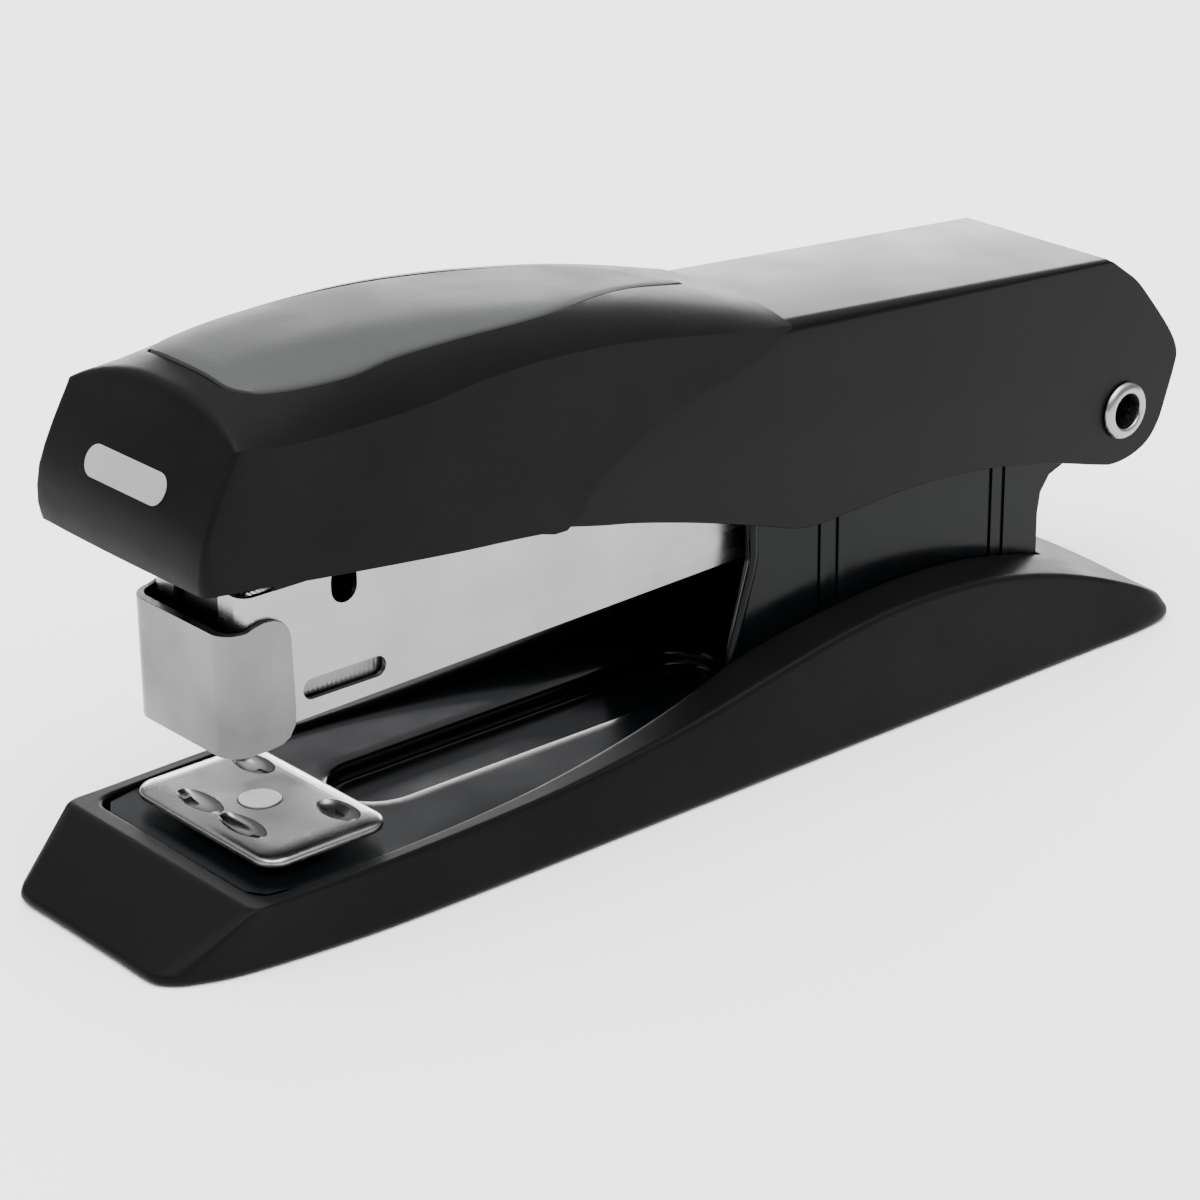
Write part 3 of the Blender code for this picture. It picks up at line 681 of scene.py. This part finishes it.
# Plan of the near half from front to rear: foot, upper outer edge and rim of the recess at each key.
BASE_KEYS = (
    ((-1.3, 0.0), (7.2, 0.0), (9.2, 0.0)),
    ((-1.3, -5.0), (7.2, -6.0), (9.2, -6.0)),
    ((-1.3, -10.2), (7.2, -12.6), (9.2, -10.9)),
    ((-0.5, -12.1), (7.3, -14.8), (9.5, -12.6)),
    ((1.6, -13.6), (7.9, -15.6), (10.8, -13.7)),
    ((7.0, -15.3), (11.0, -15.6), (14.0, -14.1)),
    ((20.0, -16.7), (21.0, -15.8), (22.0, -14.3)),
    ((35.0, -17.0), (35.0, -15.8), (34.0, -14.0)),
    ((53.0, -17.0), (53.0, -15.7), (50.0, -12.6)),
    ((66.0, -17.0), (66.0, -15.6), (64.0, -10.9)),
    ((75.0, -17.0), (75.0, -15.6), (72.5, -9.74)),
    ((85.0, -17.0), (85.0, -15.5), (83.0, -9.74)),
    ((97.0, -17.0), (97.0, -15.5), (95.0, -9.74)),
    ((110.0, -17.0), (109.0, -15.5), (106.0, -9.74)),
    ((119.0, -17.0), (118.0, -15.5), (114.0, -9.74)),
    ((126.5, -17.0), (125.0, -15.6), (117.5, -9.74)),
    ((131.8, -16.3), (131.1, -15.2), (117.8, -8.6)),
    ((133.6, -14.2), (132.9, -13.2), (117.8, -7.0)),
    ((134.0, -9.0), (133.3, -8.5), (117.8, -4.5)),
    ((134.1, 0.0), (133.4, 0.0), (117.8, 0.0)),
)
MIDDLE_X = 68.0
FOOT_Z = 0.25
RIM_FOOT_Z = 4.9


def base_top(x, y):
    """Height of the moulding's upper face: the ridge, with a slight crown behind the middle."""
    rise = min(1.0, max(0.0, (x - 90.0) / 25.0))
    return curve_value(RIDGE, x) + 1.3 * rise * (1 - (min(abs(y), 15.6) / 15.6) ** 2)


def build_base():
    """The moulding as a ring of cross-sections, with room for the tray and the anvil's stem."""
    lanes = [smooth_path([key[lane] for key in BASE_KEYS], 7) for lane in range(3)]
    near = list(zip(*lanes))
    loop = near + [tuple((x, -y) for x, y in group) for group in near[-2:0:-1]]
    rows = []
    for foot, ridge, rim in loop:
        top = curve_value(RIDGE, ridge[0])
        skirt = min(1.1, 0.4 * top)
        middle = [(ridge[0] * (1 - t) + rim[0] * t, ridge[1] * (1 - t) + rim[1] * t) for t in (0.33, 0.67)]
        profile = [
            (foot[0] * 0.97 + MIDDLE_X * 0.03, foot[1] * 0.85, FOOT_Z), (foot[0], foot[1], FOOT_Z),
            (foot[0], foot[1], skirt), (ridge[0], ridge[1], top),
            *[(x, y, base_top(x, y)) for x, y in middle],
            (rim[0], rim[1], base_top(*rim)), (rim[0], rim[1], RIM_FOOT_Z),
        ]
        radii = (0.5, 0.5, 0.7, 0.5, 0.5, 0.55)
        rows.append([tuple(p) for p in rounded_profile(profile, radii)])
    shape = bmesh.new()
    verts = add_grid(shape, rows, closed_rows=True)
    shape.faces.new([row[0] for row in verts])
    shape.faces.new([row[-1] for row in verts])
    made = object_from(shape, "base_shell")
    cut(
        made,
        prism("tool", tray_plan(6.7), 3.25, 9.0, "z"),
        prism("tool", circle(ANVIL_X, 0.0, 3.6, 40), -1.0, 9.0, "z"),
    )
    shade(made, 38.0)
    return dress(made, "plastic", "base", "matte_black_plastic", "base_moulding")


# ---------------------------------------------------------------- steel handle channel

HANDLE_UPPER = ((13.0, 46.0), (78.0, 46.0), (126.0, 42.1))
HANDLE_REAR = ((126.0, 42.1), (128.4, 40.4), (130.4, 38.9), (132.6, 36.5), (135.5, 33.0), (137.0, 30.8),
               (137.6, 29.2), (137.4, 27.7), (136.2, 24.3), (135.1, 21.6), (133.4, 19.6), (130.8, 18.5),
               (127.9, 18.2), (125.4, 18.7), (117.4, 20.9), (109.5, 22.5), (101.8, 23.4), (94.3, 23.6),
               (88.5, 23.3), (84.2, 23.1), (81.3, 23.1), (78.2, 23.8), (74.3, 25.1), (66.1, 27.6),
               (58.2, 29.7), (53.0, 30.8), (47.6, 32.1))
HANDLE_LOWER = ((43.0, 34.3), (32.0, 35.4), (18.7, 37.0), (13.0, 37.8))
HANDLE_HALF = 11.1
HANDLE_INNER = 10.3
BEND = 1.3
PIVOT_HOLE = 2.65


def build_handle():
    """Folded sheet with rounded bends along its top, open below and at the back."""
    rear = smooth_path(HANDLE_REAR, 4)
    outline = list(HANDLE_UPPER[:2]) + rear + list(HANDLE_LOWER)
    made = prism("handle_shell", outline, -HANDLE_HALF, HANDLE_HALF)
    shape = bmesh.new()
    shape.from_mesh(made.data)
    top = [metres((x, 0, z)) for x, z in HANDLE_UPPER]
    picked = []
    for edge in shape.edges:
        ends = [v.co for v in edge.verts]
        same_side = abs(ends[0].y - ends[1].y) < 1e-6
        on_top = all(any(abs(e.x - p.x) < 1e-6 and abs(e.z - p.z) < 1e-6 for p in top) for e in ends)
        if same_side and on_top:
            picked.append(edge)
    bmesh.ops.bevel(shape, geom=picked, offset=BEND * MM, segments=6, profile=0.5, affect="EDGES")
    shape.to_mesh(made.data)
    shape.free()
    inner = ((5.0, 45.2), (77.9, 45.2), (125.9, 41.3), (150.0, 39.4), (150.0, 5.0), (5.0, 5.0))
    cut(made, prism("tool", inner, -HANDLE_INNER, HANDLE_INNER))
    opening = ((126.1, 60.0), (126.1, 5.0), (150.0, 5.0), (150.0, 60.0))
    cut(made, prism("tool", opening, -HANDLE_INNER, HANDLE_INNER))
    cut(made, prism("tool", circle(PIVOT_X, PIVOT_Z, PIVOT_HOLE, 48), -20.0, 20.0))
    soften(made, 0.14, 2, 30.0)
    return dress(made, "satin", "handle", "satin_black_paint", "handle_channel")


# ---------------------------------------------------------------- hinge rings

def turned_ring(name, profile):
    """A ring round the hinge axis from (radius, y) points of its closed section."""
    rows = []
    steps = 72
    for i in range(steps):
        angle = 2 * math.pi * i / steps
        rows.append([(PIVOT_X + r * math.cos(angle), y, PIVOT_Z + r * math.sin(angle)) for r, y in profile])
    shape = bmesh.new()
    add_grid(shape, rows, closed_rows=True, closed_columns=True)
    return object_from(shape, name)


def add_hinge():
    """The hollow rivet of the hinge: its tube, and a rolled end on either side."""
    roll = ((2.55, 11.25), (3.15, 11.2), (3.25, 11.4), (3.0, 11.75), (2.5, 11.95), (2.1, 11.85), (2.02, 11.5))
    section = smooth_path(roll, 4, closed=True)
    for name, side in (("near", -1), ("far", 1)):
        ring = turned_ring("hinge_" + name + "_rolled_end", [(r, side * y) for r, y in section])
        shade(ring, 60.0)
        dress(ring, "nickel", "base", "nickel_plate", "hinge_ring_" + name)
    tube = [(2.6, -11.3), (2.6, 11.3), (2.02, 11.3), (2.02, -11.3)]
    sleeve = turned_ring("hinge_tube", tube)
    shade(sleeve, 40.0)
    dress(sleeve, "nickel", "base", "nickel_plate", "hinge_sleeve")


# ---------------------------------------------------------------- anvil

STEM_HOLE = 1.58


def build_anvil():
    """Coined plate: rolled-over upper edge, and two pairs of hollows that turn the staple's legs."""
    levels = ((0.35, 7.2), (0.12, 7.24), (0.0, 7.36), (0.0, 7.8), (0.05, 7.92), (0.2, 8.06), (0.5, 8.2),
              (1.0, 8.31), (1.7, 8.38), (2.3, 8.4))
    rows = []
    for inset, z in levels:
        plan = rounded_rectangle(ANVIL_X, 0.0, 7.35 - inset, 11.5 - inset, max(0.5, 2.6 - inset * 0.8))
        rows.append([(x, y, z) for x, y in plan])
    shape = bmesh.new()
    verts = add_grid(shape, rows, closed_columns=True)
    shape.faces.new(verts[0])
    shape.faces.new(verts[-1])
    made = object_from(shape, "anvil_coined_plate")
    tools = [prism("tool", circle(ANVIL_X, 0.0, STEM_HOLE, 48), 6.0, 9.5, "z"),
             prism("tool", circle(ANVIL_X, 0.0, 2.2, 48), 7.96, 9.5, "z")]
    for side in (-1, 1):
        front_slot = rounded_rectangle(ANVIL_X - 4.5, side * 5.1, 0.5, 0.75, 0.12, 3)
        rear_slot = rounded_rectangle(ANVIL_X + 4.4, side * 6.1, 0.55, 0.9, 0.12, 3)
        tools.append(ellipsoid("tool", (ANVIL_X - 4.5, side * 3.5, 8.8), (1.5, 3.6, 1.3)))
        tools.append(ellipsoid("tool", (ANVIL_X + 4.2, side * 6.9, 8.8), (1.7, 3.0, 1.35)))
        tools.append(prism("tool", front_slot, 7.45, 9.5, "z"))
        tools.append(prism("tool", rear_slot, 7.45, 9.5, "z"))
    cut(made, *tools)
    soften(made, 0.05, 2, 40.0)
    return dress(made, "anvil", "anvil", "nickel_plate", "anvil_plate")


# ---------------------------------------------------------------- steel base frame

RECESS_PLAN = ((9.4, 11.1), (10.6, 12.9), (14.0, 13.7), (26.7, 13.9), (38.0, 13.3), (52.0, 12.0),
               (64.0, 10.5), (71.0, 9.7), (117.2, 9.7))
UPRIGHT = ((71.2, 5.6), (71.3, 10.0), (72.2, 13.8), (73.3, 17.5), (74.2, 21.0), (74.2, 25.0), (76.5, 29.0),
           (82.0, 31.5), (112.0, 31.5), (122.0, 30.6), (126.0, 29.4), (129.0, 29.6), (132.2, 28.4),
           (134.2, 25.6), (134.0, 22.6), (132.2, 20.2), (129.5, 19.2), (126.5, 19.3), (121.0, 19.6),
           (118.9, 18.9), (117.6, 17.2), (117.2, 14.8), (117.2, 5.6))
UPRIGHT_ROLL = ((71.6, 8.0), (71.7, 10.2), (72.6, 13.9), (73.7, 17.5), (74.7, 21.0), (74.8, 25.0),
                (76.6, 28.6))
WALL_IN, WALL_OUT = 9.0, 9.7
RIB_STATIONS = (84.4, 87.0, 110.0, 112.0)


def tray_plan(radius):
    """The tray's plan with ends of this radius."""
    return obround(53.0, 0.0, 20.0, radius)


def build_tray():
    """The long pressing in the floor of the base, with rolled rim and rounded foot."""
    upper = ((6.5, 6.2), (5.35, 6.19), (5.05, 6.12), (4.8, 5.93), (4.66, 5.65), (4.6, 5.2), (4.5, 4.75),
             (4.25, 4.52), (3.85, 4.42), (3.4, 4.4))
    under = ((6.5, 6.2), (6.5, 5.5), (5.9, 5.5), (4.9, 3.7), (3.4, 3.7))
    shape = bmesh.new()
    for path in (upper, under):
        rows = [[(x, y, z) for x, y in tray_plan(radius)] for radius, z in path]
        verts = add_grid(shape, rows, closed_columns=True)
        shape.faces.new(verts[-1])
    bmesh.ops.remove_doubles(shape, verts=shape.verts, dist=1e-7)
    made = object_from(shape, "base_tray")
    shade(made, 60.0)
    return dress(made, "gloss", "base", "gloss_black_paint")


def build_frame():
    """Sheet steel floor with two upright walls, pressed ribs and a rolled front edge on each wall."""
    near = [(x, -y) for x, y in RECESS_PLAN]
    plan = near + [(x, -y) for x, y in near[::-1]]
    made = prism("frame_pressing", plan, 5.4, 6.2, "z")
    cut(made, prism("tool", tray_plan(6.5), 4.0, 8.0, "z"))
    roll = smooth_path(UPRIGHT_ROLL, 4)
    for side in (-1, 1):
        y0, y1 = sorted((side * WALL_IN, side * WALL_OUT))
        cut(made, prism("tool", UPRIGHT, y0, y1), operation="UNION")
        for x in RIB_STATIONS:
            r0, r1 = sorted((side * 9.4, side * 9.93))
            plan = ((x - 0.42, 7.0), (x + 0.42, 7.0), (x + 0.42, 30.0), (x - 0.42, 30.0))
            cut(made, prism("tool", plan, r0, r1), operation="UNION")
        cut(made, swept_bead(roll, side * 9.62, 0.62, 0.42), operation="UNION")
    for x, radius in ((ANVIL_X, STEM_HOLE), (108.0, 1.25)):
        cut(made, prism("tool", circle(x, 0.0, radius, 40), 4.0, 8.0, "z"))
    cut(made, prism("tool", circle(PIVOT_X, PIVOT_Z, PIVOT_HOLE, 48), -12.0, 12.0))
    soften(made, 0.16, 3, 28.0)
    return dress(made, "gloss", "base", "gloss_black_paint", "base_frame")


def swept_bead(path, y, half, proud, sides=14):
    """A bar of oval section along (x, z) points, centred on y."""
    rows = []
    for i, (x, z) in enumerate(path):
        before, after = path[max(i - 1, 0)], path[min(i + 1, len(path) - 1)]
        along = Vector((after[0] - before[0], after[1] - before[1])).normalized()
        row = []
        for k in range(sides):
            turn = 2 * math.pi * k / sides
            across = half * math.cos(turn)
            row.append((x + along.y * across, y + proud * math.sin(turn), z - along.x * across))
        rows.append(row)
    shape = bmesh.new()
    verts = add_grid(shape, rows, closed_columns=True)
    shape.faces.new(verts[0])
    shape.faces.new(verts[-1])
    return object_from(shape, "tool")


# ---------------------------------------------------------------- springs

def add_spring(node, body):
    """A copy of a spring of the CAD frame, with its own mesh, riding its body."""
    shape = bmesh.new()
    shape.from_mesh(NODES[node].data)
    shape.transform(NODES[node].matrix_world)
    made = object_from(shape, node + "_wire")
    shade(made, 40.0)
    dress(made, "dark_steel", body, "dark_spring_steel", node)
    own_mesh(made)


def add_springs():
    add_spring("pusher_spring", "magazine")
    add_spring("handle_spring", "carrier")
    add_spring("magazine_spring", "base")


# ---------------------------------------------------------------- nose cap, staples and printed mark

NOSE_SIDE = ((10.8, 17.6), (15.2, 17.6), (16.6, 17.75), (17.6, 18.3), (18.2, 19.3), (18.35, 20.8),
             (18.15, 28.2), (17.9, 29.2), (17.3, 29.95), (16.3, 30.4), (15.2, 30.5), (14.1, 30.3),
             (13.2, 30.0), (10.8, 29.9))
STAPLE_PITCH = 0.55
STAPLE_FIRST = 15.45
STAPLE_COUNT = 59
STAPLE_LEGS = 20.7
# Across one wire: share of the pitch, and how far the surface lies below its crest.
WIRE_ROUND = ((0.06, 0.022), (0.25, 0.005), (0.5, 0.0), (0.75, 0.005), (0.94, 0.022))


def build_nose():
    """Folded sheet round the front of the magazine, with wide bends."""
    made = prism("nose_sheet", NOSE_SIDE, -8.0, 8.0)
    outside = rounded_rectangle(20.8, 0.0, 10.0, 8.0, 2.4, 14)
    cut(made, prism("tool", outside, 10.0, 40.0, "z"), operation="INTERSECT")
    hollow = rounded_rectangle(21.6, 0.0, 10.0, 7.45, 1.75, 14)
    cut(made, prism("tool", hollow, 10.0, 40.0, "z"))
    soften(made, 0.1, 2, 40.0)
    return dress(made, "nose", "magazine", "nickel_plate", "nose_cap")


def hoop(half, top, radius):
    """One staple seen from the front: two legs and a crown with rounded corners."""
    corners = [(0.0, -half, STAPLE_LEGS), (0.0, -half, top), (0.0, half, top), (0.0, half, STAPLE_LEGS)]
    return rounded_profile(corners, (radius, radius), 5)


def build_staples():
    """Strip of wire staples: one rounded hoop after another, glued side by side."""
    outside = hoop(6.5, 28.9, 0.5)
    inner = hoop(5.72, 28.46, 0.2)
    rows = []
    for i in range(STAPLE_COUNT):
        for share, dip in WIRE_ROUND:
            x = STAPLE_FIRST + STAPLE_PITCH * (i + share)
            rows.append([(x, p.y * (1 - dip / 6.35), p.z - dip) for p in outside])
    shape = bmesh.new()
    outer = add_grid(shape, rows)
    ends = [[(rows[r][0][0], p.y, p.z) for p in inner] for r in (0, -1)]
    under = add_grid(shape, ends)
    last = len(rows[0]) - 1
    for r, verts in ((0, outer[0]), (1, outer[-1])):
        for c in range(last):
            shape.faces.new((verts[c], verts[c + 1], under[r][c + 1], under[r][c]))
    for c in (0, last):
        side = [row[c] for row in outer]
        shape.faces.new([*side, under[1][c], under[0][c]])
    made = object_from(shape, "staple_wires")
    shade(made, 60.0)
    return dress(made, "nose", "magazine", "nickel_plate", "staple_strip")


MARK_Z = 44.95


def build_mark():
    """Blank pill-shaped mark that follows the front of the cap."""
    shape = bmesh.new()
    rows = []
    for lift, shares in ((0.14, (0.0, 0.25, 0.5, 0.75, 0.97, 1.0)), (0.02, (1.0, 0.0))):
        for share in shares:
            row = []
            for y, v in obround(0.0, 0.0, 4.8, 1.5):
                z = MARK_Z + 0.93 * v * share
                out = lift - (0.03 if share == 1.0 and lift > 0.1 else 0.0)
                row.append((front_x(y * share, z) - out, y * share, z))
            rows.append(row)
    add_grid(shape, rows, closed_columns=True)
    made = object_from(shape, "blank_mark")
    shade(made, 60.0)
    return dress(made, "mark", "handle", "printed_badge", "badge")


# ---------------------------------------------------------------- assembly

def main():
    add_camera()
    add_world()
    add_area("overhead", (-0.3, -0.3, 1.3), (0.0, 0.0, 0.0), 1.4, 46.0)
    add_area("rear_panel", (0.86, 0.90, 0.24), (0.0, 0.0, 0.03), 1.4, 22.0, 0.3)
    add_floor()
    make_materials()
    add_cap()
    build_base()
    build_handle()
    add_hinge()
    build_frame()
    build_tray()
    build_anvil()
    build_staples()
    refined("base_pad", "rubber", "base", "rubber_pad", 0.15)
    refined("anvil_stem", "nickel", "anvil_lift", "nickel_plate", 0.12)
    bends = ((13.2, 7.4, 1.4), (13.8, 6.8, 0.8))
    refined("magazine_channel", "nickel", "magazine", "nickel_plate", 0.1, bends)
    build_nose()
    refined("staple_rail", "nickel", "magazine", "nickel_plate", 0.1)
    refined("driver_blade", "dark_steel", "driver", "dark_spring_steel", 0.08)
    refined("driver_head", "dark_steel", "driver", "dark_spring_steel", 0.08)
    refined("carrier_channel", "satin", "carrier", "satin_black_paint", 0.1)
    refined("pusher", "dark_steel", "pusher", "dark_spring_steel", 0.15)
    refined("rod_anchor", "dark_steel", "magazine", "dark_spring_steel", 0.15)
    build_mark()
    add_springs()
    plain_nodes = {
        "guide_rod": "nickel", "spring_rivet": "nickel", "leaf_rivet": "nickel", "spacer_tube": "dark_steel",
        "anvil_washer": "dark_steel",
    }
    for node, look in plain_nodes.items():
        NODES[node].data.materials.clear()
        NODES[node].data.materials.append(LOOKS[look])


main()
